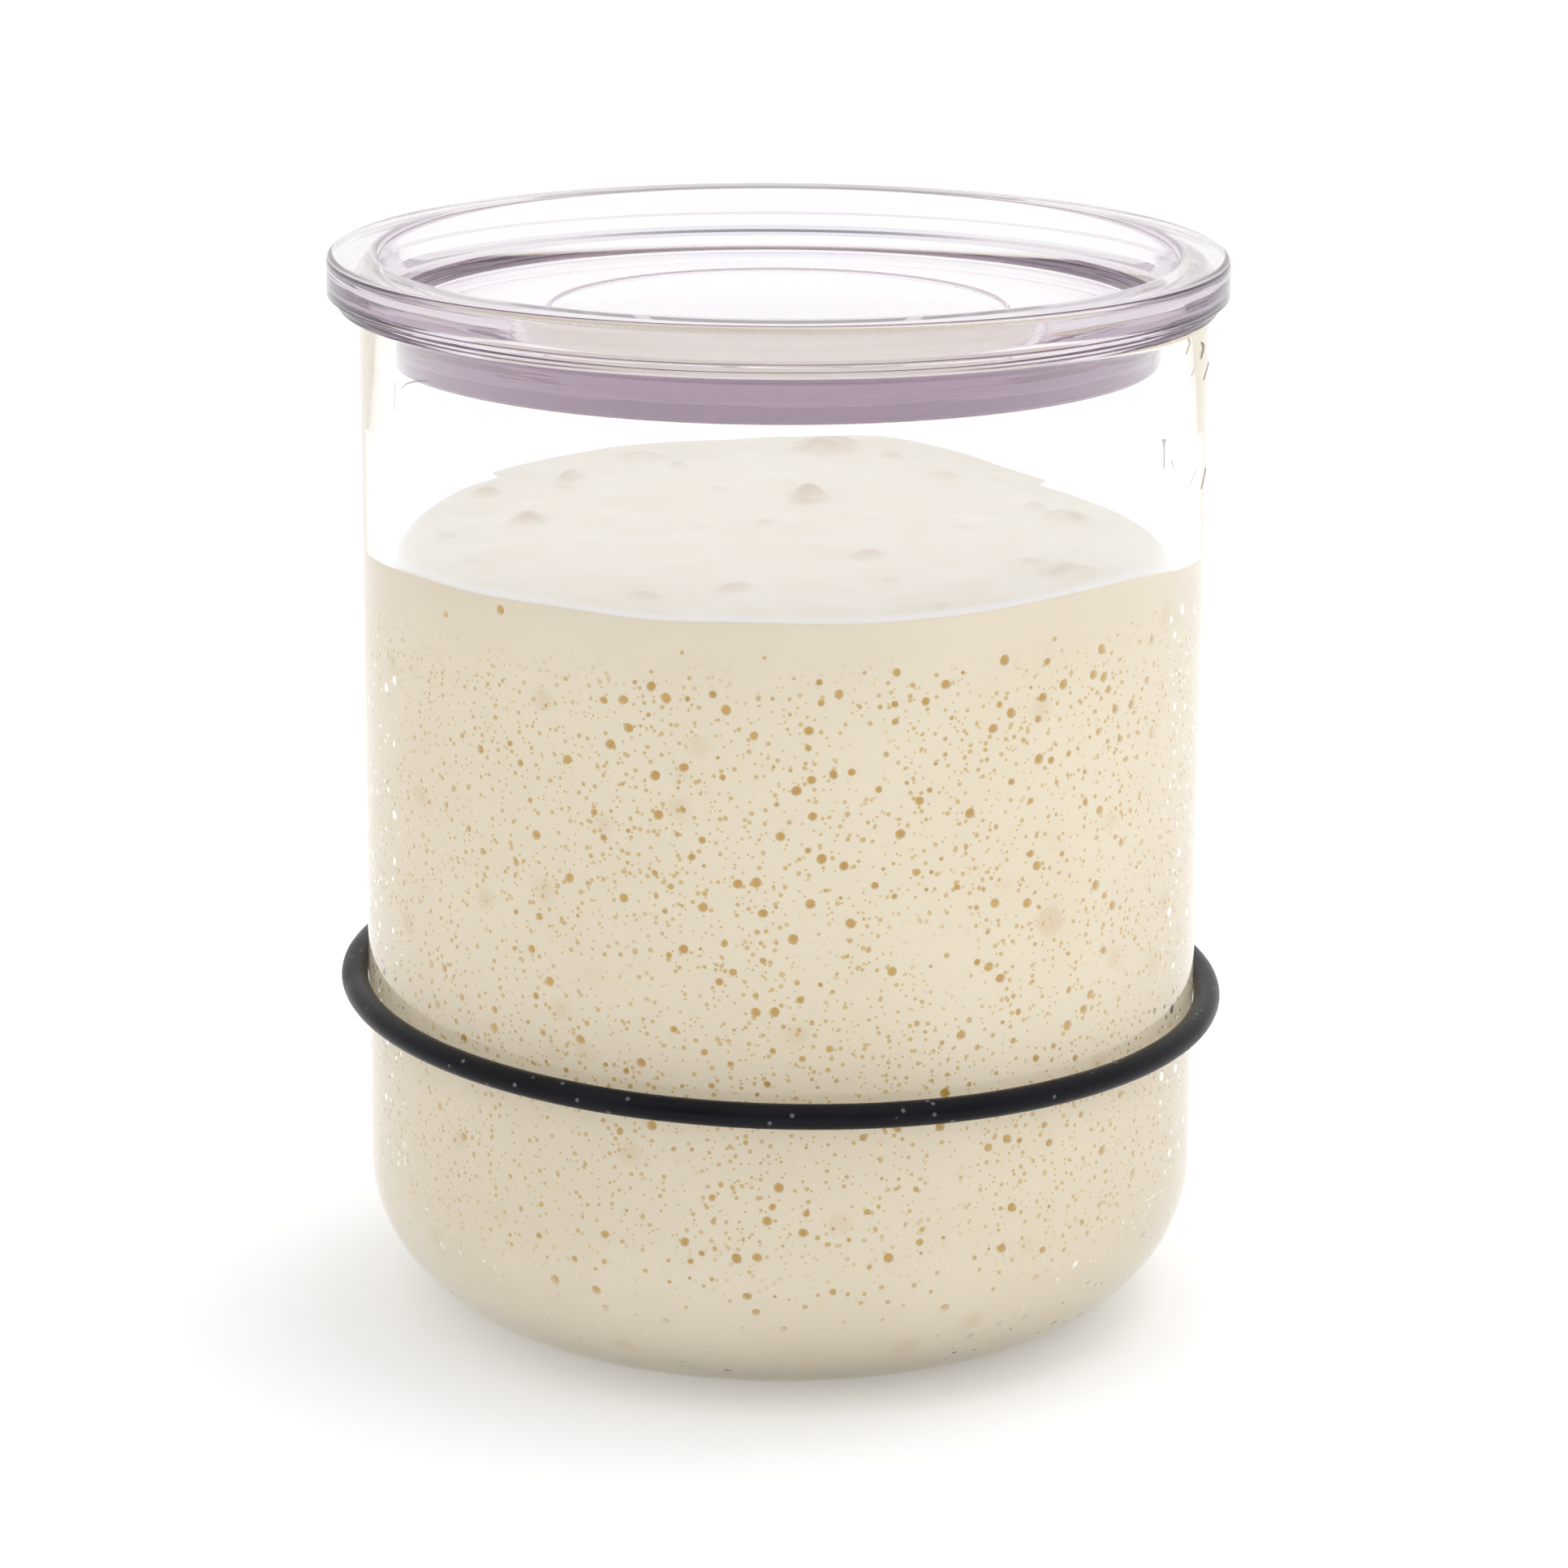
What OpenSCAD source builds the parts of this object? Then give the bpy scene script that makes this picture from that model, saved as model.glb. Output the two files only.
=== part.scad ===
// Straight-sided glass jar with a rounded foot, a loose clear lid, a ring-shaped
// marker band round the wall and a filling of starter. Millimetres, +Z up. The
// origin is the middle of the foot, on the surface that the jar stands on.

/* [Glass jar] */
// Outside diameter of the straight wall
jar_d = 100; // [85:1:140]
// Height from the foot to the mouth
jar_h = 122; // [110:1:180]
// Thickness of the straight wall
wall_t = 3.4; // [2.9:0.1:6]
// Thickness of the base at its middle
base_t = 5; // [3:0.1:9]
// Outside radius of the rounded foot corner
foot_r = 18; // [10:0.5:24]
// How much the bore widens at the mouth, on the radius
mouth_flare = 0.3; // [0.1:0.1:1.2]
// Height over which the bore widens
flare_h = 14; // [4:0.5:18]
// Radius of the bend where the bore starts to widen
flare_bend_r = 20; // [5:1:40]
// Radius of the rounded edges of the lip
lip_r = 1; // [0.4:0.05:1.2]

/* [Lid] */
// How far the rim stands out past the glass, on the radius
rim_overhang = 3; // [2.2:0.1:6]
// Height of the rim above the mouth of the jar
rim_h = 6; // [4.5:0.1:9]
// Width of the rim's top, from its outer wall to the recess
rim_w = 6; // [4.5:0.1:8]
// Radius of the rim's outer top edge
rim_edge_r = 0.9; // [0.3:0.05:1.2]
// How far the small step under the rim stands in from the rim's wall
step_w = 1.3; // [0.6:0.1:2]
// Height of the small step under the rim
step_h = 1.5; // [0.8:0.1:2.5]
// How deep the plug reaches below the mouth
plug_depth = 6.2; // [4.5:0.1:9]
// Radius of the rounded edge under the plug
plug_edge_r = 0.9; // [0.3:0.05:1.4]
// Gap between the plug and the bore of the jar, on the radius
plug_clearance = 0.9; // [0.4:0.05:1.6]
// How far the loose lid lies to one side, as a share of the gap round its plug
lid_shift = 0.8; // [0:0.05:0.9]
// How far the recess goes down past the mouth of the jar
recess_drop = 1; // [0:0.1:2.5]
// How far the recess wall leans inwards on its way down
recess_lean = 2.6; // [0.5:0.1:4]
// Radius of the rim's edge at the top of the recess
recess_edge_r = 1.4; // [0.8:0.1:2.4]
// Radius of the hollow corner at the foot of the recess wall
recess_foot_r = 4; // [0.8:0.1:4.8]
// Diameter of the flat middle of the recess floor
floor_flat_d = 76; // [62:1:82]
// How far the floor rises from its flat middle to the recess wall
floor_rise = 0.5; // [0.2:0.05:1.2]
// Diameter of the raised circle on the floor
circle_d = 54; // [30:1:58]
// Radius of the raised circle's half-round section
circle_bead_r = 0.3; // [0.2:0.05:0.6]

/* [Marker band] */
// Thickness of the band's round section
band_t = 2.9; // [2:0.1:5]
// Gap between the band and the glass, on the radius
band_clearance = 0.2; // [0.1:0.05:0.6]
// Height of the band's middle above the foot
band_h = 39.1; // [28:0.1:110]
// How far the band lies out of level, in degrees
band_tilt = 1.66; // [0:0.02:3]
// Side of the jar where the band is highest, in degrees from +X
band_high_side = 138; // [0:1:359]

/* [Starter] */
// Distance from the mouth down to the starter's edge at the glass
headspace = 29.3; // [16:0.1:75]
// How much higher the middle of the starter stands than its edge
crown_h = 3.3; // [1:0.1:8]
// Gap between the starter and the side of the glass
contents_gap = 0.1; // [0.05:0.01:0.3]

/* [Hidden] */
$fn = 160;
crown_fn = 720;

jar_r = jar_d / 2;
bore_r = jar_r - wall_t;
bore_foot_r = foot_r - wall_t;
mouth_r = bore_r + mouth_flare;
flare_slant = atan(mouth_flare / flare_h);

rim_r = jar_r + rim_overhang;
rim_top = jar_h + rim_h;
step_r = rim_r - step_w;
plug_r = bore_r - plug_clearance;
plug_low = jar_h - plug_depth;
floor_z = jar_h - recess_drop;
floor_edge_z = floor_z + floor_rise;
recess_r = rim_r - rim_w;
floor_r = recess_r - recess_lean;
recess_slant = atan(recess_lean / (rim_top - floor_edge_z));
floor_slant = atan(floor_rise / (floor_r - floor_flat_d / 2));

band_r = jar_r + band_clearance + band_t / 2;
fill_r = bore_r - contents_gap;
fill_h = jar_h - headspace;
crown_sphere_r = (fill_r * fill_r + crown_h * crown_h) / (2 * crown_h);

// Half outline of a tub, from the axis outwards, with a rounded corner at its foot
module tub_outline(radius, height, corner) {
    square([radius - corner, height]);
    translate([0, corner]) square([radius, height - corner]);
    translate([radius - corner, corner]) circle(corner);
}

// Area between a sharp corner at the origin and the arc that rounds it. The edges of
// the corner leave the origin in the directions start and end, in degrees.
module corner_patch(radius, start, end) {
    half = (end - start) / 2;
    reach = radius / tan(half);
    centre = radius / sin(half) * [cos(start + half), sin(start + half)];
    difference() {
        polygon([
            [0, 0],
            reach * [cos(start), sin(start)],
            centre,
            reach * [cos(end), sin(end)]
        ]);
        translate(centre) circle(radius);
    }
}

module jar() {
    color([0.93, 0.95, 0.95, 0.35])
    rotate_extrude() difference() {
        tub_outline(jar_r, jar_h, foot_r);
        translate([0, base_t]) tub_outline(bore_r, jar_h, bore_foot_r);
        polygon([
            [0, jar_h - flare_h],
            [bore_r, jar_h - flare_h],
            [mouth_r, jar_h],
            [0, jar_h]
        ]);
        translate([bore_r, jar_h - flare_h]) corner_patch(flare_bend_r, -90, 90 - flare_slant);
        translate([jar_r, jar_h]) corner_patch(lip_r, 180, 270);
        translate([mouth_r, jar_h]) corner_patch(lip_r, -90 - flare_slant, 0);
    }
}

// Soft filling: it stands on the base and swells to a crown in the middle
module starter() {
    color([0.90, 0.84, 0.74])
    rotate_extrude() intersection() {
        translate([0, base_t]) tub_outline(fill_r, jar_h, bore_foot_r);
        union() {
            square([jar_r, fill_h]);
            intersection() {
                translate([0, fill_h + crown_h - crown_sphere_r]) circle(crown_sphere_r, $fn = crown_fn);
                translate([0, fill_h]) square([jar_r, 2 * crown_h]);
            }
        }
    }
}

// The plug is solid: its underside is flat and the recess stops above it
module lid() {
    color([0.80, 0.75, 0.82, 0.45])
    translate([-lid_shift * plug_clearance, 0, 0])
    rotate_extrude() {
        difference() {
            union() {
                translate([0, jar_h + step_h]) square([rim_r, rim_h - step_h]);
                translate([0, jar_h]) square([step_r, step_h]);
                translate([0, plug_low]) square([plug_r, plug_depth]);
            }
            polygon([
                [0, floor_z],
                [floor_flat_d / 2, floor_z],
                [floor_r, floor_edge_z],
                [recess_r, rim_top],
                [0, rim_top]
            ]);
            translate([rim_r, rim_top]) corner_patch(rim_edge_r, 180, 270);
            translate([recess_r, rim_top]) corner_patch(recess_edge_r, -90 - recess_slant, 0);
            translate([plug_r, plug_low]) corner_patch(plug_edge_r, 90, 180);
        }
        translate([floor_r, floor_edge_z])
            corner_patch(recess_foot_r, 90 - recess_slant, 180 + floor_slant);
        translate([circle_d / 2, floor_z]) circle(circle_bead_r);
    }
}

module marker_band() {
    color([0.07, 0.07, 0.08])
    translate([0, 0, band_h])
    rotate([0, 0, band_high_side]) rotate([0, -band_tilt, 0])
    rotate_extrude() translate([band_r, 0]) circle(band_t / 2);
}

jar();
starter();
lid();
marker_band();
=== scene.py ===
"""Looks of the sourdough starter jar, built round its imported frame. Metres, Z up."""
import math
import random

import bpy
import numpy as np
from mathutils import Matrix, Vector, noise
from mathutils.geometry import delaunay_2d_cdt


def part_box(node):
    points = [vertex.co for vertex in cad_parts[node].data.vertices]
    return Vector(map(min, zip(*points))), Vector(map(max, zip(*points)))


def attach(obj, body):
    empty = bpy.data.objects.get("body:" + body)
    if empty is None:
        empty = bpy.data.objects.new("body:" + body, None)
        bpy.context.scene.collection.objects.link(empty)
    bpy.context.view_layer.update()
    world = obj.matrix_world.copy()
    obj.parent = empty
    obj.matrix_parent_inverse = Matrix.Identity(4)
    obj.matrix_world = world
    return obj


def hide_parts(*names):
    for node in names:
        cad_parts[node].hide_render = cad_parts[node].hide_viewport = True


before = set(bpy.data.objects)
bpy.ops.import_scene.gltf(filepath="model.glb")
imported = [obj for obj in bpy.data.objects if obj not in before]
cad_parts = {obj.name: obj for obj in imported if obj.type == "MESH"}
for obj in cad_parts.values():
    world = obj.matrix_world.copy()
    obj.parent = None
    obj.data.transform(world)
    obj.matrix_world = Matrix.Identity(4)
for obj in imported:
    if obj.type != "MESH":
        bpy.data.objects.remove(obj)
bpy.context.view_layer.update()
MM = 0.001

# Sizes read from the frame
JAR_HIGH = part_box("jar")[1]
LID_LOW, LID_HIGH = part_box("lid")
STARTER_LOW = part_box("starter")[0]
JAR_R = JAR_HIGH.x
JAR_H = JAR_HIGH.z
LID_TOP = LID_HIGH.z
PLUG_LOW = LID_LOW.z

# Glass
WALL = 3.4 * MM
BASE = 5.0 * MM
FOOT_R = 18.0 * MM
BORE_R = JAR_R - WALL
MOUTH_FLARE = 0.3 * MM
FLARE_H = 14.0 * MM
FLARE_BEND_R = 20.0 * MM
LIP_R = 1.0 * MM

# Lid
LID_X = (LID_LOW.x + LID_HIGH.x) / 2
LID_R = (LID_HIGH.x - LID_LOW.x) / 2
PLUG_R = BORE_R - 0.9 * MM
PLUG_EDGE_R = 0.9 * MM
RIM_EDGE_R = 0.9 * MM
STEP_W = 1.3 * MM
STEP_H = 1.5 * MM
RECESS_R = LID_R - 6.0 * MM
RECESS_EDGE_R = 1.4 * MM
RECESS_FOOT_R = 4.0 * MM
FLOOR_R = RECESS_R - 2.6 * MM
FLOOR_Z = JAR_H - 1.0 * MM
FLOOR_RISE = 0.5 * MM
FLOOR_FLAT_R = 38.0 * MM
CIRCLE_R = 27.0 * MM
BEAD_R = 0.3 * MM

# Marker band: it hugs the glass, so its section is a little wider than it is high
BAND_H = 39.1 * MM
BAND_TILT = 1.66
BAND_HIGH_SIDE = 138
BAND_WIDE = 1.6 * MM
BAND_HIGH = 1.45 * MM
BAND_GAP = 0.05 * MM

# Lathed pieces: faces round the axis, and the radius below which a point is a pole
TURNS = 256
ON_AXIS = 1e-7


def arc(cx, cz, radius, start, end, count=8):
    """Points of an arc in the (r, z) half plane, angles in degrees."""
    angles = [math.radians(start + (end - start) * i / count) for i in range(count + 1)]
    return [(cx + radius * math.cos(a), cz + radius * math.sin(a)) for a in angles]


def rounded(corners, count=8):
    """A closed outline from sharp corners (r, z, radius): each radius becomes an arc."""
    out = []
    for i, (x, y, radius) in enumerate(corners):
        if not radius:
            out.append((x, y))
            continue
        corner = Vector((x, y))
        back = (Vector(corners[i - 1][:2]) - corner).normalized()
        ahead = (Vector(corners[(i + 1) % len(corners)][:2]) - corner).normalized()
        half = back.angle(ahead) / 2
        centre = corner + (back + ahead).normalized() * radius / math.sin(half)
        first = corner + back * radius / math.tan(half) - centre
        last = corner + ahead * radius / math.tan(half) - centre
        turn = -first.angle_signed(last)
        for k in range(count + 1):
            out.append(tuple(centre + Matrix.Rotation(turn * k / count, 2) @ first))
    return out


def put(name, data):
    """A new object in the scene."""
    thing = bpy.data.objects.new(name, data)
    bpy.context.scene.collection.objects.link(thing)
    return thing


def lathe(name, profile, turns=TURNS, smooth_angle=32):
    """A closed solid of revolution. Points at r = 0 become poles."""
    verts, rings = [], []
    for r, z in profile:
        if r < ON_AXIS:
            rings.append([len(verts)])
            verts.append((0.0, 0.0, z))
            continue
        rings.append(list(range(len(verts), len(verts) + turns)))
        for i in range(turns):
            a = 2 * math.pi * i / turns
            verts.append((r * math.cos(a), r * math.sin(a), z))
    faces = []
    closed = profile[0][0] > ON_AXIS
    pairs = list(zip(rings, rings[1:])) + ([(rings[-1], rings[0])] if closed else [])
    for low, high in pairs:
        for i in range(turns):
            j = (i + 1) % turns
            if len(low) == 1:
                faces.append((low[0], high[j], high[i]))
            elif len(high) == 1:
                faces.append((low[i], low[j], high[0]))
            else:
                faces.append((low[i], low[j], high[j], high[i]))
    mesh = bpy.data.meshes.new(name)
    mesh.from_pydata(verts, [], faces)
    mesh.shade_smooth()
    mesh.set_sharp_from_angle(angle=math.radians(smooth_angle))
    return put(name, mesh)


def new_material(name):
    """A material with its node lists, its Principled shader and its output."""
    mat = bpy.data.materials.new(name)
    mat.use_nodes = True
    nodes, links = mat.node_tree.nodes, mat.node_tree.links
    return mat, nodes, links, nodes["Principled BSDF"], nodes["Material Output"]


def maths(nodes, links, operation, a, b=None, clamp=False):
    """One step of arithmetic. a and b are numbers or sockets."""
    node = nodes.new("ShaderNodeMath")
    node.operation = operation
    node.use_clamp = clamp
    for socket, value in zip(node.inputs, (a, b)):
        if isinstance(value, bpy.types.NodeSocket):
            links.new(value, socket)
        elif value is not None:
            socket.default_value = value
    return node.outputs[0]


def span(nodes, links, value, low, high, to_low=0.0, to_high=1.0):
    """Smooth step of a value from one range to another."""
    node = nodes.new("ShaderNodeMapRange")
    node.interpolation_type = "SMOOTHSTEP"
    links.new(value, node.inputs["Value"])
    for name, number in zip(("From Min", "From Max", "To Min", "To Max"), (low, high, to_low, to_high)):
        node.inputs[name].default_value = number
    return node.outputs["Result"]


def blend(nodes, links, factor, a, b):
    """Colour mix. a and b are colours or sockets."""
    node = nodes.new("ShaderNodeMix")
    node.data_type = "RGBA"
    links.new(factor, node.inputs["Factor"])
    for socket, value in ((node.inputs[6], a), (node.inputs[7], b)):
        if isinstance(value, bpy.types.NodeSocket):
            links.new(value, socket)
        else:
            socket.default_value = (*value, 1)
    return node.outputs[2]


def texture(nodes, links, kind, coords, **settings):
    """A procedural texture with its number inputs set by name."""
    node = nodes.new(kind)
    links.new(coords, node.inputs["Vector"])
    for name, value in settings.items():
        node.inputs[name].default_value = value
    return node


def relief(nodes, links, bsdf, height, distance, strength):
    """Fine relief in a shader's surface. The strength is a number or a socket."""
    bump = nodes.new("ShaderNodeBump")
    bump.inputs["Distance"].default_value = distance
    if isinstance(strength, bpy.types.NodeSocket):
        links.new(strength, bump.inputs["Strength"])
    else:
        bump.inputs["Strength"].default_value = strength
    links.new(height, bump.inputs["Height"])
    links.new(bump.outputs[0], bsdf.inputs["Normal"])


def make_clear(bsdf, colour, ior):
    """Turns a Principled shader into a clear solid."""
    bsdf.inputs["Base Color"].default_value = (*colour, 1)
    bsdf.inputs["Roughness"].default_value = 0.0
    bsdf.inputs["IOR"].default_value = ior
    bsdf.inputs["Transmission Weight"].default_value = 1.0


def lamps_pass(nodes, links, shader, output):
    """Lets lamp light through a clear shader, so that what is inside is lit."""
    path = nodes.new("ShaderNodeLightPath")
    clear = nodes.new("ShaderNodeBsdfTransparent")
    mix = nodes.new("ShaderNodeMixShader")
    links.new(path.outputs["Is Shadow Ray"], mix.inputs["Fac"])
    links.new(shader.outputs[0], mix.inputs[1])
    links.new(clear.outputs[0], mix.inputs[2])
    links.new(mix.outputs[0], output.inputs["Surface"])


def glass_material():
    """Clear glass with slow waves in its surface."""
    mat, nodes, links, bsdf, output = new_material("clear_glass")
    make_clear(bsdf, (0.985, 0.987, 0.987), 1.47)
    coords = nodes.new("ShaderNodeTexCoord").outputs["Object"]
    waves = texture(nodes, links, "ShaderNodeTexNoise", coords, Scale=55.0, Detail=2.0)
    relief(nodes, links, bsdf, waves.outputs["Fac"], 0.12 * MM, 0.2)
    lamps_pass(nodes, links, bsdf, output)
    return mat


def lid_material():
    """Clear plastic, violet where it is thick, with fine level ripples in its upright faces."""
    mat, nodes, links, bsdf, output = new_material("lid_plastic")
    make_clear(bsdf, (1, 1, 1), 1.54)
    coords = nodes.new("ShaderNodeTexCoord").outputs["Object"]
    stretch = nodes.new("ShaderNodeVectorMath")
    stretch.operation = "MULTIPLY"
    stretch.inputs[1].default_value = (0.05, 0.05, 1.0)
    links.new(coords, stretch.inputs[0])
    ripples = texture(nodes, links, "ShaderNodeTexNoise", stretch.outputs[0], Scale=900.0, Detail=2.0)
    relief(nodes, links, bsdf, ripples.outputs["Fac"], 0.03 * MM, 0.35)
    volume = nodes.new("ShaderNodeVolumeAbsorption")
    volume.inputs["Color"].default_value = (0.62, 0.50, 0.60, 1)
    volume.inputs["Density"].default_value = 36.0
    links.new(volume.outputs[0], output.inputs["Volume"])
    lamps_pass(nodes, links, bsdf, output)
    return mat


def starter_material():
    """Side, gas pits, risen top and dried marks. The mesh's layer named marks tells them apart:
    it holds pit, tone and painted shade, and top, and an alpha of 0 on a dried mark. In a pit it is
    painted shade, darker towards the middle and on the upper side, by a random amount per pit."""
    mat, nodes, links, bsdf, _ = new_material("starter")
    coords = nodes.new("ShaderNodeTexCoord").outputs["Object"]
    marks = nodes.new("ShaderNodeVertexColor")
    marks.layer_name = "marks"
    split = nodes.new("ShaderNodeSeparateColor")
    links.new(marks.outputs["Color"], split.inputs[0])
    pit, tone_and_shade, dry = split.outputs
    wet = maths(nodes, links, "SUBTRACT", 1.0, dry, True)

    broad = texture(nodes, links, "ShaderNodeTexNoise", coords, Scale=38.0, Detail=3.0)
    broad = span(nodes, links, broad.outputs["Fac"], 0.35, 0.68)
    side = blend(nodes, links, broad, (0.94, 0.85, 0.675), (0.91, 0.81, 0.63))
    blots = texture(nodes, links, "ShaderNodeTexVoronoi", coords, Scale=95.0)
    blots = span(nodes, links, blots.outputs["Distance"], 0.02, 0.22, 0.3, 0.0)
    side = blend(nodes, links, blots, side, (0.70, 0.54, 0.30))

    patches = texture(nodes, links, "ShaderNodeTexNoise", coords, Scale=75.0, Detail=1.0)
    patches = span(nodes, links, patches.outputs["Fac"], 0.24, 0.46)
    height = nodes.new("ShaderNodeSeparateXYZ")
    links.new(coords, height.inputs[0])
    below = span(nodes, links, height.outputs["Z"], 0.0835, 0.091, 1.0, 0.0)
    above = span(nodes, links, height.outputs["Z"], 0.010, 0.026)
    where = maths(nodes, links, "MULTIPLY", maths(nodes, links, "MULTIPLY", below, above), wet)
    for scale, size, strength in ((760.0, 0.22, 0.95), (1180.0, 0.2, 0.85)):
        dots = texture(nodes, links, "ShaderNodeTexVoronoi", coords, Scale=scale)
        dots = span(nodes, links, dots.outputs["Distance"], size * 0.8, size * 1.08, strength, 0.0)
        dots = maths(nodes, links, "MULTIPLY", dots, maths(nodes, links, "MULTIPLY", where, patches))
        side = blend(nodes, links, dots, side, (0.73, 0.53, 0.22))
    # A pit's amber darkens with its painted shade: towards the pit's middle and on its upper side
    amber = blend(nodes, links, tone_and_shade, (0.75, 0.50, 0.13), (0.61, 0.34, 0.03))
    side = blend(nodes, links, pit, side, amber)

    mottle = texture(nodes, links, "ShaderNodeTexNoise", coords, Scale=160.0, Detail=4.0)
    mottle = span(nodes, links, mottle.outputs["Fac"], 0.3, 0.7)
    top = blend(nodes, links, mottle, (0.88, 0.84, 0.735), (0.86, 0.805, 0.69))
    top = blend(nodes, links, tone_and_shade, top, (0.66, 0.55, 0.43))
    top = blend(nodes, links, pit, top, (0.93, 0.91, 0.87))
    colour = blend(nodes, links, dry, side, top)
    colour = blend(nodes, links, marks.outputs["Alpha"], (0.09, 0.08, 0.07), colour)
    links.new(colour, bsdf.inputs["Base Color"])
    links.new(span(nodes, links, dry, 0.0, 1.0, 0.5, 0.36), bsdf.inputs["Roughness"])
    bsdf.inputs["Specular IOR Level"].default_value = 0.3

    grain = texture(nodes, links, "ShaderNodeTexNoise", coords, Scale=700.0, Detail=4.0)
    strength = maths(nodes, links, "MULTIPLY", dry, 0.18)
    relief(nodes, links, bsdf, grain.outputs["Fac"], 0.15 * MM, strength)
    return mat


def silicone_material():
    """Satin black with a light haze and dust."""
    mat, nodes, links, bsdf, _ = new_material("silicone")
    coords = nodes.new("ShaderNodeTexCoord").outputs["Object"]
    haze = texture(nodes, links, "ShaderNodeTexNoise", coords, Scale=60.0, Detail=5.0)
    haze = span(nodes, links, haze.outputs["Fac"], 0.35, 0.7)
    colour = blend(nodes, links, haze, (0.003, 0.003, 0.005), (0.007, 0.007, 0.010))
    dust = texture(nodes, links, "ShaderNodeTexVoronoi", coords, Scale=420.0)
    dust = span(nodes, links, dust.outputs["Distance"], 0.07, 0.14, 0.7, 0.0)
    links.new(blend(nodes, links, dust, colour, (0.14, 0.14, 0.15)), bsdf.inputs["Base Color"])
    links.new(span(nodes, links, haze, 0.0, 1.0, 0.30, 0.42), bsdf.inputs["Roughness"])
    bsdf.inputs["Specular IOR Level"].default_value = 0.12
    return mat


def build_jar():
    """Glass tub with a rounded foot, and a bore that opens gently at the mouth."""
    corners = [
        (0, 0, 0), (JAR_R, 0, FOOT_R), (JAR_R, JAR_H, LIP_R),
        (BORE_R + MOUTH_FLARE, JAR_H, LIP_R), (BORE_R, JAR_H - FLARE_H, FLARE_BEND_R),
        (BORE_R, BASE, FOOT_R - WALL), (0, BASE, 0)]
    return lathe("glass", rounded(corners, 14))


def bead(radius, z, section):
    """Half-round bead on a flat face, as points of an outline that runs inwards."""
    return [(r, h, 0) for r, h in arc(radius, z, section, 0, 180, 8)]


def build_lid():
    """One clear moulding: plug, rim with its step, and recess with a raised circle."""
    corners = [
        (0, PLUG_LOW, 0), (PLUG_R, PLUG_LOW, PLUG_EDGE_R), (PLUG_R, JAR_H, 0),
        (LID_R - STEP_W, JAR_H, 0), (LID_R - STEP_W, JAR_H + STEP_H, 0),
        (LID_R, JAR_H + STEP_H, 0), (LID_R, LID_TOP, RIM_EDGE_R),
        (RECESS_R, LID_TOP, RECESS_EDGE_R), (FLOOR_R, FLOOR_Z + FLOOR_RISE, RECESS_FOOT_R),
        (FLOOR_FLAT_R, FLOOR_Z, 0)]
    corners += bead(CIRCLE_R, FLOOR_Z, BEAD_R) + [(0, FLOOR_Z, 0)]
    piece = lathe("lid_shell", rounded(corners))
    piece.data.transform(Matrix.Translation((LID_X, 0, 0)))
    return piece


def build_band():
    """Elastic ring with a slight swell on its outer side, a little out of level."""
    middle = JAR_R + BAND_GAP + BAND_WIDE
    steps = 28
    section = [(middle + BAND_WIDE * math.cos(math.radians(360 / steps * i)),
                BAND_HIGH * math.sin(math.radians(360 / steps * i))) for i in range(steps)]
    piece = lathe("band_ring", section, 360, 60)
    for vertex in piece.data.vertices:
        away = Vector((vertex.co.x, vertex.co.y, 0)).normalized()
        swell = noise.noise(vertex.co * 130) * 0.035 * MM
        share = max(vertex.co.dot(away) - JAR_R, 0) / (2 * BAND_WIDE)
        vertex.co += away * swell * min(share, 1) + Vector((0, 0, swell * 0.6))
    turn = Matrix.Rotation(math.radians(BAND_HIGH_SIDE), 4, "Z")
    lean = Matrix.Rotation(math.radians(-BAND_TILT), 4, "Y")
    piece.data.transform(Matrix.Translation((0, 0, BAND_H)) @ turn @ lean)
    return piece


# Height of the starter's edge at the glass, in mm, by the angle round the axis
EDGE = {
    -180: 92.6, -165: 93.2, -150: 93.9, -135: 93.8, -120: 94.0, -108: 93.5, -95: 93.9, -80: 93.6,
    -65: 93.9, -48: 94.6, -33: 94.6, -15: 93.0, 0: 92.0, 15: 91.6, 30: 91.6, 48: 91.9, 60: 92.9,
    72: 93.9, 85: 93.3, 100: 92.9, 115: 93.2, 130: 93.3, 150: 93.6, 165: 93.0}
CROWN_Z = 95.2
# Mounds over gas under the skin: x, y, radius, height, all in mm
MOUNDS = [
    (3.0, 11.0, 3.0, 1.15), (-30.7, 2.2, 3.4, 0.95), (-26.7, 21.4, 2.4, 0.9), (-37.2, 17.7, 2.6, 0.8),
    (-13.4, 27.2, 1.6, 0.5), (-2.0, -1.7, 1.5, 0.35), (9.9, -18.4, 2.8, 0.55), (12.3, -29.5, 1.5, 0.3),
    (-5.2, -33.2, 2.9, 0.6), (-15.2, -36.8, 2.6, 0.5), (17.6, -41.0, 1.5, 0.35), (31.2, 14.1, 1.5, 0.6),
    (34.9, 8.5, 4.4, 0.8), (5.2, 37.5, 6.5, 1.0), (-34.9, -19.5, 1.2, 0.3), (32.0, -25.6, 4.6, 0.6),
    (28.5, -21.4, 2.2, 0.4), (-22.7, -11.3, 1.2, 0.2), (-18.0, 33.0, 4.5, 0.5), (20.0, 26.0, 3.5, 0.35),
    (14.0, 33.0, 2.2, 0.5), (-8.0, 14.0, 2.0, 0.2), (-40.0, -4.0, 2.2, 0.4), (22.0, -2.0, 2.4, 0.25)]


def edge_heights(count):
    """Smoothed heights of the edge at evenly spread angles from -180 degrees, in metres."""
    angles = np.arange(count) * 360.0 / count - 180.0
    heights = np.interp(angles, list(EDGE), list(EDGE.values()), period=360)
    reach = count // 48
    window = np.hanning(2 * reach + 3)[1:-1]
    ringed = np.concatenate([heights[-reach:], heights, heights[:reach]])
    return np.convolve(ringed, window / window.sum(), "valid") * MM


RIM_COUNT = 480
RIM_Z = edge_heights(RIM_COUNT)


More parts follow.
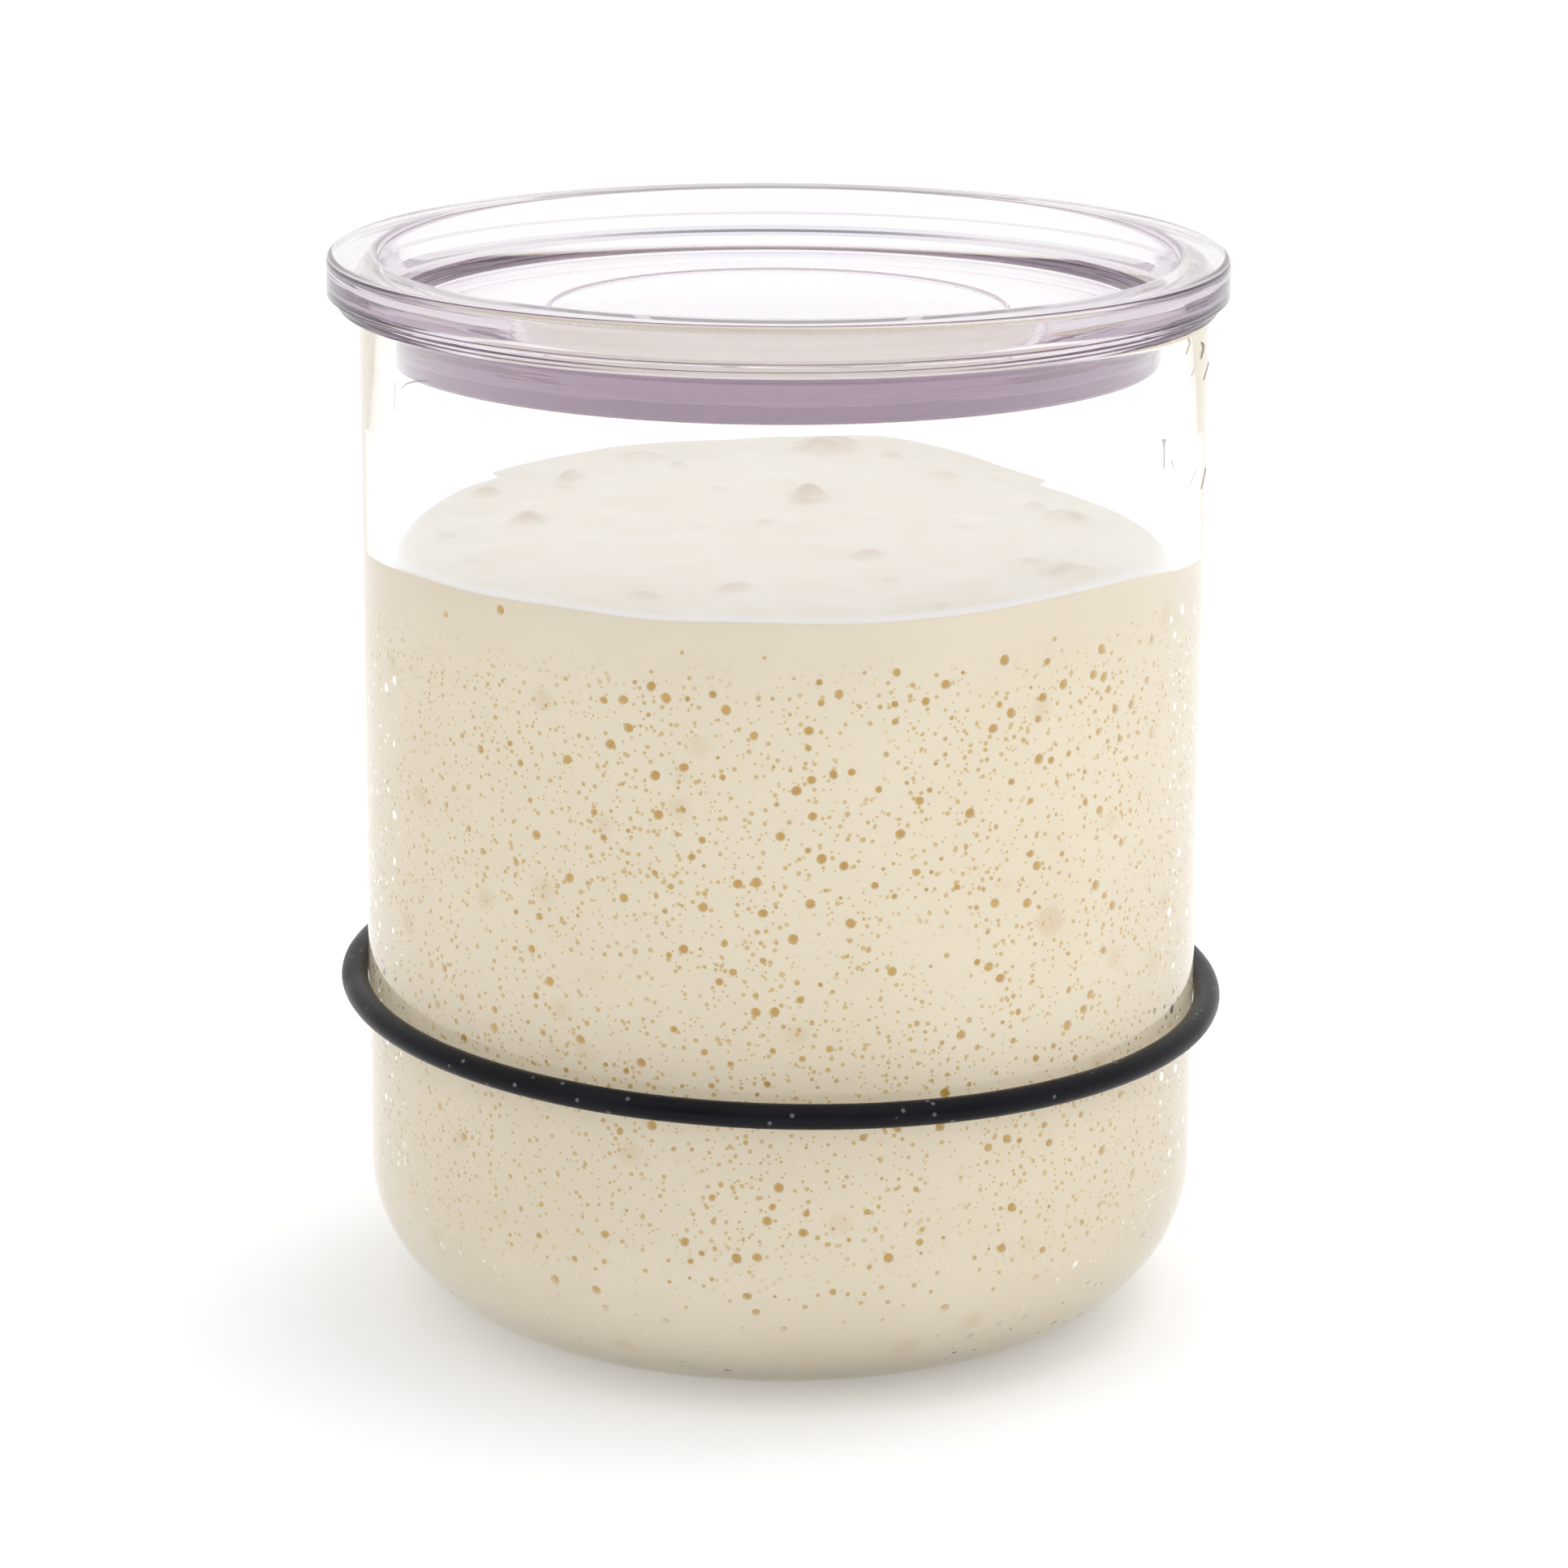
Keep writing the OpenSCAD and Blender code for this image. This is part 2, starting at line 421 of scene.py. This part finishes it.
def edge_height(angle):
    """Height of the starter's edge at an angle in radians."""
    place = ((angle / (2 * math.pi)) % 1.0 + 0.5) * RIM_COUNT
    i = int(math.floor(place))
    t = place - i
    return RIM_Z[i % RIM_COUNT] * (1 - t) + RIM_Z[(i + 1) % RIM_COUNT] * t


# Risen top, in mm: height and width of its shoulder at the glass, and its rows of points inwards
SHOULDER_H = 0.55
SHOULDER_W = 1.1
TOP_ROWS = [0.0, 0.12, 0.3, 0.55, 0.85, 1.2, 1.6]
TOP_ROWS += [TOP_ROWS[-1] + 0.62 * i for i in range(1, 69)]


def mounds_at(x, y, fine):
    """How much the mounds lift the top at a place, and how dark they make it there."""
    lift, tone_and_shade = 0.0, 0.0
    for mx, my, spread, rise in MOUNDS:
        gap = math.hypot(x / MM - mx, y / MM - my) / spread
        if gap < 1:
            swell = (1 - gap * gap) ** 2
            lift += 1.2 * rise * swell * MM
            tone_and_shade = max(tone_and_shade, rise * (0.6 * swell + 1.1 * gap * (1 - gap) ** 2) * (0.8 + 0.9 * fine))
    return lift, min(tone_and_shade, 1.0)


def starter_top(radius):
    """The risen surface, from the edge at the glass inwards. Returns points, faces, marks."""
    points, marks, faces = [], [], []
    seed = Vector((3.1, 7.7, 1.3))
    for inward in TOP_ROWS:
        r = radius - inward * MM
        shoulder = SHOULDER_H * MM * math.sqrt(1 - (1 - min(inward / SHOULDER_W, 1)) ** 2)
        for i in range(RIM_COUNT):
            angle = 2 * math.pi * i / RIM_COUNT - math.pi
            x, y = r * math.cos(angle), r * math.sin(angle)
            share = (r / radius) ** 2.4
            z = RIM_Z[i] * share + CROWN_Z * MM * (1 - share) + shoulder * min(share * 1.2, 1)
            fade = min(inward / 4.0, 1.0)
            rough = noise.fractal(Vector((x, y, 0)) * 85 + seed, 1.1, 2.0, 3)
            fine = noise.noise(Vector((x, y, 0)) * 420 + seed)
            lift, tone_and_shade = mounds_at(x, y, fine)
            points.append((x, y, z + (0.34 * rough + 0.018 * fine) * MM * fade + lift))
            white = 1.0 - min(max((inward - 0.45) / 1.1, 0.0), 1.0)
            marks.append((white, tone_and_shade, 1.0, 1.0))
    for k in range(len(TOP_ROWS) - 1):
        for i in range(RIM_COUNT):
            j = (i + 1) % RIM_COUNT
            low, high = k * RIM_COUNT, (k + 1) * RIM_COUNT
            faces.append((low + i, low + j, high + j, high + i))
    points.append((0.0, 0.0, CROWN_Z * MM))
    marks.append((0.0, 0.0, 1.0, 1.0))
    last = (len(TOP_ROWS) - 1) * RIM_COUNT
    for i in range(RIM_COUNT):
        faces.append((last + i, last + (i + 1) % RIM_COUNT, len(points) - 1))
    return points, faces, marks


# Dried hairs and flecks of starter on the glass, inside and outside: radius in mm, half width in
# mm and points (angle from the front towards the right in degrees, height in mm)
INSIDE = 46.5
OUTSIDE = 50.05
MARKS = [
    (INSIDE, 0.09, [(-65.3, 114.7), (-63.0, 115.7), (-60.1, 116.4), (-56.5, 116.9)]),
    (INSIDE, 0.08, [(-68.3, 115.0), (-68.8, 113.5), (-68.4, 111.7)]),
    (OUTSIDE + 0.03, 0.36, [(73.9, 119.6), (75.6, 118.8), (74.6, 118.2), (73.6, 117.7)]),
    (OUTSIDE, 0.1, [(76.3, 114.8), (78.4, 115.5), (81.5, 116.1)]),
    (INSIDE, 0.2, [(62.8, 109.7), (64.2, 109.5), (63.7, 108.9)]),
    (INSIDE, 0.09, [(63.4, 109.5), (63.7, 108.4), (63.7, 106.4)]),
    (INSIDE, 0.08, [(66.2, 106.9), (67.8, 105.7), (70.4, 104.3)]),
    (OUTSIDE, 0.11, [(76.6, 101.9), (79.0, 102.8), (81.3, 103.6)])]


def dried_marks():
    """Thin tapered ridges along the lines of MARKS. Returns points, faces and marks."""
    points, faces = [], []
    for radius, width, line in MARKS:
        path = []
        for (a0, z0), (a1, z1) in zip(line, line[1:]):
            path += [(a0 + (a1 - a0) * k / 4, z0 + (z1 - z0) * k / 4) for k in range(4)]
        path.append(line[-1])
        spots = [Vector((math.radians(a) * radius, z)) for a, z in path]
        first = len(points)
        for k, spot in enumerate(spots):
            way = (spots[min(k + 1, len(spots) - 1)] - spots[max(k - 1, 0)]).normalized()
            wide = width * (0.12 + 0.88 * math.sin(math.pi * k / (len(spots) - 1)) ** 0.6)
            for across, out in ((1, 0), (0, 1), (-1, 0), (0, -1)):
                u = spot.x - way.y * wide * across
                v = spot.y + way.x * wide * across
                r = radius + 0.04 * out
                points.append((r * math.sin(u / radius) * MM, -r * math.cos(u / radius) * MM, v * MM))
        for k in range(len(spots) - 1):
            for i in range(4):
                a, b = first + 4 * k + i, first + 4 * k + (i + 1) % 4
                faces.append((a, b, b + 4, a + 4))
        last = first + 4 * (len(spots) - 1)
        faces += [(first + 3, first + 2, first + 1, first), (last, last + 1, last + 2, last + 3)]
    return points, faces, [(0.0, 0.0, 1.0, 0.0)] * len(points)


# Larger gas pockets: angle from the front in degrees, height, radius in mm, strength
POCKETS = [
    (-41.4, 92.7, 0.6, 1.0), (48.7, 87.5, 0.62, 1.0), (41.3, 84.4, 0.58, 1.0), (15.4, 88.1, 0.5, 1.0),
    (4.9, 87.3, 0.4, 1.0), (51.9, 80.0, 0.55, 1.0), (9.4, 59.4, 0.62, 1.0), (30.3, 60.2, 0.6, 1.0),
    (-43.3, 43.1, 0.62, 1.0), (-13.3, 56.1, 0.58, 1.0), (43.3, 43.8, 0.62, 1.0), (15.2, 53.5, 0.55, 1.0),
    (6.9, 76.7, 0.5, 1.0), (-35.4, 67.3, 0.6, 1.0), (61.6, 75.5, 0.9, 0.75), (39.7, 56.7, 1.9, 0.32)]


# Drawn gas pits: least and largest radius in mm, how fast large ones get rare, how many, how
# often a place is tried, and the gap between two
PIT_SMALL = 0.22
PIT_LARGE = 0.6
PIT_SPREAD = 2.5
PIT_COUNT = 2400
PIT_TRIES = 30
PIT_GAP = 0.6 * MM
# The radius from which a pit counts as large, the rings of points in a pit as shares of its
# radius, and how many points a ring has
PIT_ROUND = 0.38 * MM
SMALL_RINGS = (1.0, 0.8, 0.42)
LARGE_RINGS = (1.0, 0.84, 0.62, 0.32)
SMALL_POINTS = 10
LARGE_POINTS = 18

# The starter wets the glass: its mesh reaches this far into it. Its side is first laid out flat:
# u runs round the jar from the back, v from the flat bottom round the foot and up the wall.
CONTACT = 0.03 * MM
MASS_R = BORE_R + CONTACT
MASS_FOOT_R = FOOT_R - WALL
MASS_LOW = STARTER_LOW.z - CONTACT
AROUND = 2 * math.pi * MASS_R
TURN = MASS_FOOT_R * math.pi / 2
LENGTH = TURN + 74.0 * MM
WALL_LOW = MASS_LOW + MASS_FOOT_R


def rolled_up(u, v, depth):
    """A point of the flat side in its place on the starter, pressed in by a depth."""
    angle = math.pi / 2 + u / MASS_R
    if v < TURN:
        lean = v / MASS_FOOT_R
        r = MASS_R - MASS_FOOT_R + MASS_FOOT_R * math.sin(lean)
        z = MASS_LOW + MASS_FOOT_R * (1 - math.cos(lean))
        nr, nz = math.sin(lean), -math.cos(lean)
    else:
        r, nr, nz = MASS_R, 1.0, 0.0
        z = WALL_LOW + (v - TURN) / (LENGTH - TURN) * (edge_height(angle) - WALL_LOW)
    r, z = r - depth * nr, z - depth * nz
    return r * math.cos(angle), r * math.sin(angle), z


class Pits:
    """Gas pits on the flat side, sorted into cells so that neighbours are found fast."""
    cell = 2.5 * MM

    def __init__(self):
        self.found = []
        self.cells = {}

    def keep(self, u, v, size, strength):
        self.found.append((u, v, size, strength))
        key = int(u / self.cell), int(v / self.cell)
        self.cells.setdefault(key, []).append((u, v, size))

    def near(self, u, v, size):
        ci, cj = int(u / self.cell), int(v / self.cell)
        for i in range(ci - 1, ci + 2):
            for j in range(cj - 1, cj + 2):
                for pu, pv, pr in self.cells.get((i, j), ()):
                    if math.hypot(u - pu, v - pv) < size + pr:
                        return True
        return False


def pit_wish(u, v):
    """How likely a pit is kept: few low on the foot, near the top and high at the left."""
    top_gap = (LENGTH - v) / MM
    left = math.exp(-((u / AROUND - 0.36) / 0.055) ** 2)
    wish = min(1.0, v / (24 * MM)) ** 1.5 * min(1.0, max(0.03, (top_gap - 3 - 9 * left) / 6))
    wish *= 1.0 - 0.55 * left
    return wish * (0.8 + 0.6 * noise.noise(Vector((u / (16 * MM), v / (16 * MM), 2.5))))


def place_pits(rng):
    """The listed pockets, then the drawn pits, the largest first."""
    pits = Pits()
    for angle, height, size, strength in POCKETS:
        turned = math.radians(angle - 90)
        u = (turned - math.pi / 2) % (2 * math.pi) * MASS_R
        top = edge_height(turned) - WALL_LOW
        v = TURN + (height * MM - WALL_LOW) / top * (LENGTH - TURN)
        pits.keep(u, v, size * MM, strength)
    sizes = [PIT_SMALL * (1 - rng.random()) ** (-1 / PIT_SPREAD) for _ in range(PIT_COUNT)]
    for size in sorted((min(size, PIT_LARGE) for size in sizes), reverse=True):
        size *= MM
        for _ in range(PIT_TRIES):
            u, v = rng.uniform(1.5 * MM, AROUND - 1.5 * MM), rng.uniform(4 * MM, LENGTH - 2.5 * MM)
            if rng.random() < pit_wish(u, v) and not pits.near(u, v, size + PIT_GAP):
                pits.keep(u, v, size, 1.0)
                break
    return pits


def pit_points(rng, u, v, size, strength):
    """Rings of points of one pit and its middle, each with its depth and its marks."""
    large = size > PIT_ROUND
    count = LARGE_POINTS if large else SMALL_POINTS
    depth = min(size, 0.7 * MM) * rng.uniform(0.45, 0.8)
    tone_and_shade = rng.uniform(0.0, 1.0) ** 2 if not large else rng.uniform(0.3, 0.85)
    faint = strength if large else rng.uniform(0.6, 1.0)
    stretch = rng.uniform(0.94, 1.14)
    wobble = rng.uniform(0, math.pi)
    for share in LARGE_RINGS if large else SMALL_RINGS:
        down = depth * math.sqrt(max(0.0, 1 - share ** 2))
        for k in range(count):
            a = 2 * math.pi * k / count
            out = size * share * (1 + 0.05 * math.sin(2 * a + wobble))
            fill = faint * min(1.0, (1.0 - share) * 4.6)
            # Painted shade: darker towards the pit's middle and on its upper side, by a random amount
            # per pit
            shade = min(1.0, tone_and_shade * (1.15 - 0.6 * share) + 0.25 * max(0.0, math.sin(a)) * share)
            place = u + out * math.cos(a), v + out * math.sin(a) * stretch
            yield *place, down, (fill, shade, 0.0, 1.0)
    yield u, v, depth, (faint, min(1.0, tone_and_shade * 1.15), 0.0, 1.0)


def side_points(rng):
    """All points of the flat side: its borders, a grid that leaves out the pits, and the pits."""
    pits = place_pits(rng)
    plain = (0.0, (0.0, 0.0, 0.0, 1.0))
    for i in range(RIM_COUNT + 1):
        yield AROUND * i / RIM_COUNT, LENGTH, *plain
        if i % 4 == 0:
            yield AROUND * i / RIM_COUNT, 0.0, *plain
    rows = int(LENGTH / (1.9 * MM))
    for j in range(1, rows):
        yield 0.0, LENGTH * j / rows, *plain
        yield AROUND, LENGTH * j / rows, *plain
    columns = int(AROUND / (2.1 * MM))
    for j in range(1, rows):
        for i in range(1, columns):
            u = AROUND * (i + 0.5 * (j % 2)) / columns
            v = LENGTH * j / rows
            if u < AROUND - 1.0 * MM and not pits.near(u, v, 0.3 * MM):
                yield u, v, *plain
    for pit in pits.found:
        yield from pit_points(rng, *pit)


def starter_side():
    """The side against the glass down to the middle of the base. Returns points, faces and
    marks, and the number of the point at each step round the upper edge."""
    us, vs, depths, marks = zip(*side_points(random.Random(41)))
    flat = [Vector((u / MM, v / MM)) for u, v in zip(us, vs)]
    got = delaunay_2d_cdt(flat, [], [], 0, 1e-6, True)
    source = [ids[0] for ids in got[3]]
    spots, faces = got[0], [tuple(f) for f in got[2]]
    points = [rolled_up(p.x * MM, p.y * MM, depths[source[i]]) for i, p in enumerate(spots)]
    marks = [marks[i] for i in source]

    # Close the seam at the back and join the bottom ring to a centre point
    left = {round(p.y, 4): i for i, p in enumerate(spots) if p.x < 1e-6}
    width = AROUND / MM
    swap = {i: left[round(p.y, 4)] for i, p in enumerate(spots) if p.x > width - 1e-4}
    faces = [tuple(swap.get(i, i) for i in f) for f in faces]
    bottom = sorted((p.x, i) for i, p in enumerate(spots) if p.y < 1e-6 and i not in swap)
    points.append((0.0, 0.0, MASS_LOW))
    marks.append((0.0, 0.0, 0.0, 1.0))
    ring = [i for _, i in bottom]
    for i, j in zip(ring, ring[1:] + ring[:1]):
        faces.append((j, i, len(points) - 1))

    rim = {}
    for i, p in enumerate(spots):
        if abs(p.y - LENGTH / MM) < 1e-4 and i not in swap:
            step = round(p.x / width * RIM_COUNT) % RIM_COUNT
            rim[(step + RIM_COUNT // 2 + RIM_COUNT // 4) % RIM_COUNT] = i
    return points, faces, marks, rim


def build_starter():
    """Side with open gas pits, the risen top and the dried marks, as one mesh."""
    points, faces, marks, rim = starter_side()

    top_points, top_faces, top_marks = starter_top(MASS_R)
    shift = len(points)
    points += top_points[RIM_COUNT:]
    marks += top_marks[RIM_COUNT:]
    for face in top_faces:
        faces.append(tuple(rim[i] if i < RIM_COUNT else i - RIM_COUNT + shift for i in face))

    more_points, more_faces, more_marks = dried_marks()
    shift = len(points)
    points += more_points
    marks += more_marks
    faces += [tuple(i + shift for i in face) for face in more_faces]

    mesh = bpy.data.meshes.new("starter_mass")
    mesh.from_pydata(points, [], faces)
    mesh.validate()
    layer = mesh.color_attributes.new("marks", "FLOAT_COLOR", "POINT")
    layer.data.foreach_set("color", np.array(marks, dtype=np.float32).ravel())
    mesh.shade_smooth()
    mesh.set_sharp_from_angle(angle=math.radians(38))
    return put("starter_mass", mesh)


def dress(piece, body, node, material):
    """Puts a piece on its body in place of its CAD node."""
    piece.data.materials.append(material)
    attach(piece, body)
    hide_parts(node)


dress(build_jar(), "jar", "jar", glass_material())
dress(build_lid(), "lid", "lid", lid_material())
dress(build_starter(), "jar", "starter", starter_material())
dress(build_band(), "marker_band", "marker_band", silicone_material())


def build_floor():
    """Pale floor that takes the shadow. It glows more far out, where the background is white."""
    half = 4.0
    corners = [(-half, -half, 0), (half, -half, 0), (half, half, 0), (-half, half, 0)]
    mesh = bpy.data.meshes.new("floor")
    mesh.from_pydata(corners, [], [(0, 1, 2, 3)])
    floor = put("floor", mesh)
    floor.location.z = -0.02 * MM
    mat, nodes, links, bsdf, _ = new_material("floor")
    bsdf.inputs["Base Color"].default_value = (0.86, 0.86, 0.86, 1)
    bsdf.inputs["Roughness"].default_value = 0.9
    bsdf.inputs["Emission Color"].default_value = (1, 1, 1, 1)
    coords = nodes.new("ShaderNodeTexCoord").outputs["Object"]
    away = nodes.new("ShaderNodeVectorMath")
    away.operation = "LENGTH"
    links.new(coords, away.inputs[0])
    glow = span(nodes, links, away.outputs["Value"], 0.3, 1.4, 0.1, 0.4)
    links.new(glow, bsdf.inputs["Emission Strength"])
    mesh.materials.append(mat)


build_floor()


def build_world():
    """White all round, darker behind the camera, so that clear edges have something to mirror."""
    world = bpy.data.worlds.new("studio")
    bpy.context.scene.world = world
    world.use_nodes = True
    nodes, links = world.node_tree.nodes, world.node_tree.links
    background = nodes["Background"]
    coords = nodes.new("ShaderNodeTexCoord")
    split = nodes.new("ShaderNodeSeparateXYZ")
    links.new(coords.outputs["Generated"], split.inputs[0])
    ramp = span(nodes, links, split.outputs["Y"], -0.95, -0.35)
    colour = blend(nodes, links, ramp, (0.20, 0.23, 0.29), (1, 1, 1))
    links.new(colour, background.inputs["Color"])


build_world()


def area_light(name, location, target, size, power):
    """A soft box that lights the part but isn't seen itself, also not in a mirror or through glass."""
    data = bpy.data.lights.new(name, "AREA")
    data.shape = "RECTANGLE"
    data.size, data.size_y = size
    data.energy = power
    lamp = put(name, data)
    lamp.location = location
    lamp.rotation_euler = (Vector(target) - Vector(location)).to_track_quat("-Z", "Y").to_euler()
    lamp.visible_camera = False
    lamp.visible_glossy = False
    lamp.visible_transmission = False


area_light("top_softbox", (0.25, 0.2, 1.0), (0, 0, 0.06), (0.6, 0.6), 3.4)
area_light("front_softbox", (0.0, -1.3, 0.36), (0, 0, 0.05), (1.2, 0.7), 6.0)
area_light("left_softbox", (-1.0, -0.3, 0.4), (0, 0, 0.06), (0.5, 0.9), 2.2)
area_light("right_softbox", (1.0, -0.3, 0.4), (0, 0, 0.06), (0.5, 0.9), 1.4)


# The photograph's viewpoint: a long lens a little above the lid, pitched down
CAMERA_PLACE = (0.24 * MM, -615.76 * MM, 227.15 * MM)
CAMERA_PITCH = 14.929
CAMERA_ROLL = 0.2994


def build_camera():
    data = bpy.data.cameras.new("camera")
    data.sensor_width = 36.0
    data.lens = 121.42
    data.clip_start, data.clip_end = 0.01, 20
    camera = put("camera", data)
    pitch, roll = math.radians(CAMERA_PITCH), math.radians(CAMERA_ROLL)
    look = Matrix.Rotation(math.radians(90) - pitch, 4, "X") @ Matrix.Rotation(roll, 4, "Z")
    camera.matrix_world = Matrix.Translation(CAMERA_PLACE) @ look
    bpy.context.scene.camera = camera


build_camera()
scene = bpy.context.scene
scene.view_settings.view_transform = "Standard"
# Light is led a long way inside the clear lid and glass before it gets out
scene.cycles.max_bounces = 28
scene.cycles.transmission_bounces = 28
scene.cycles.glossy_bounces = 20
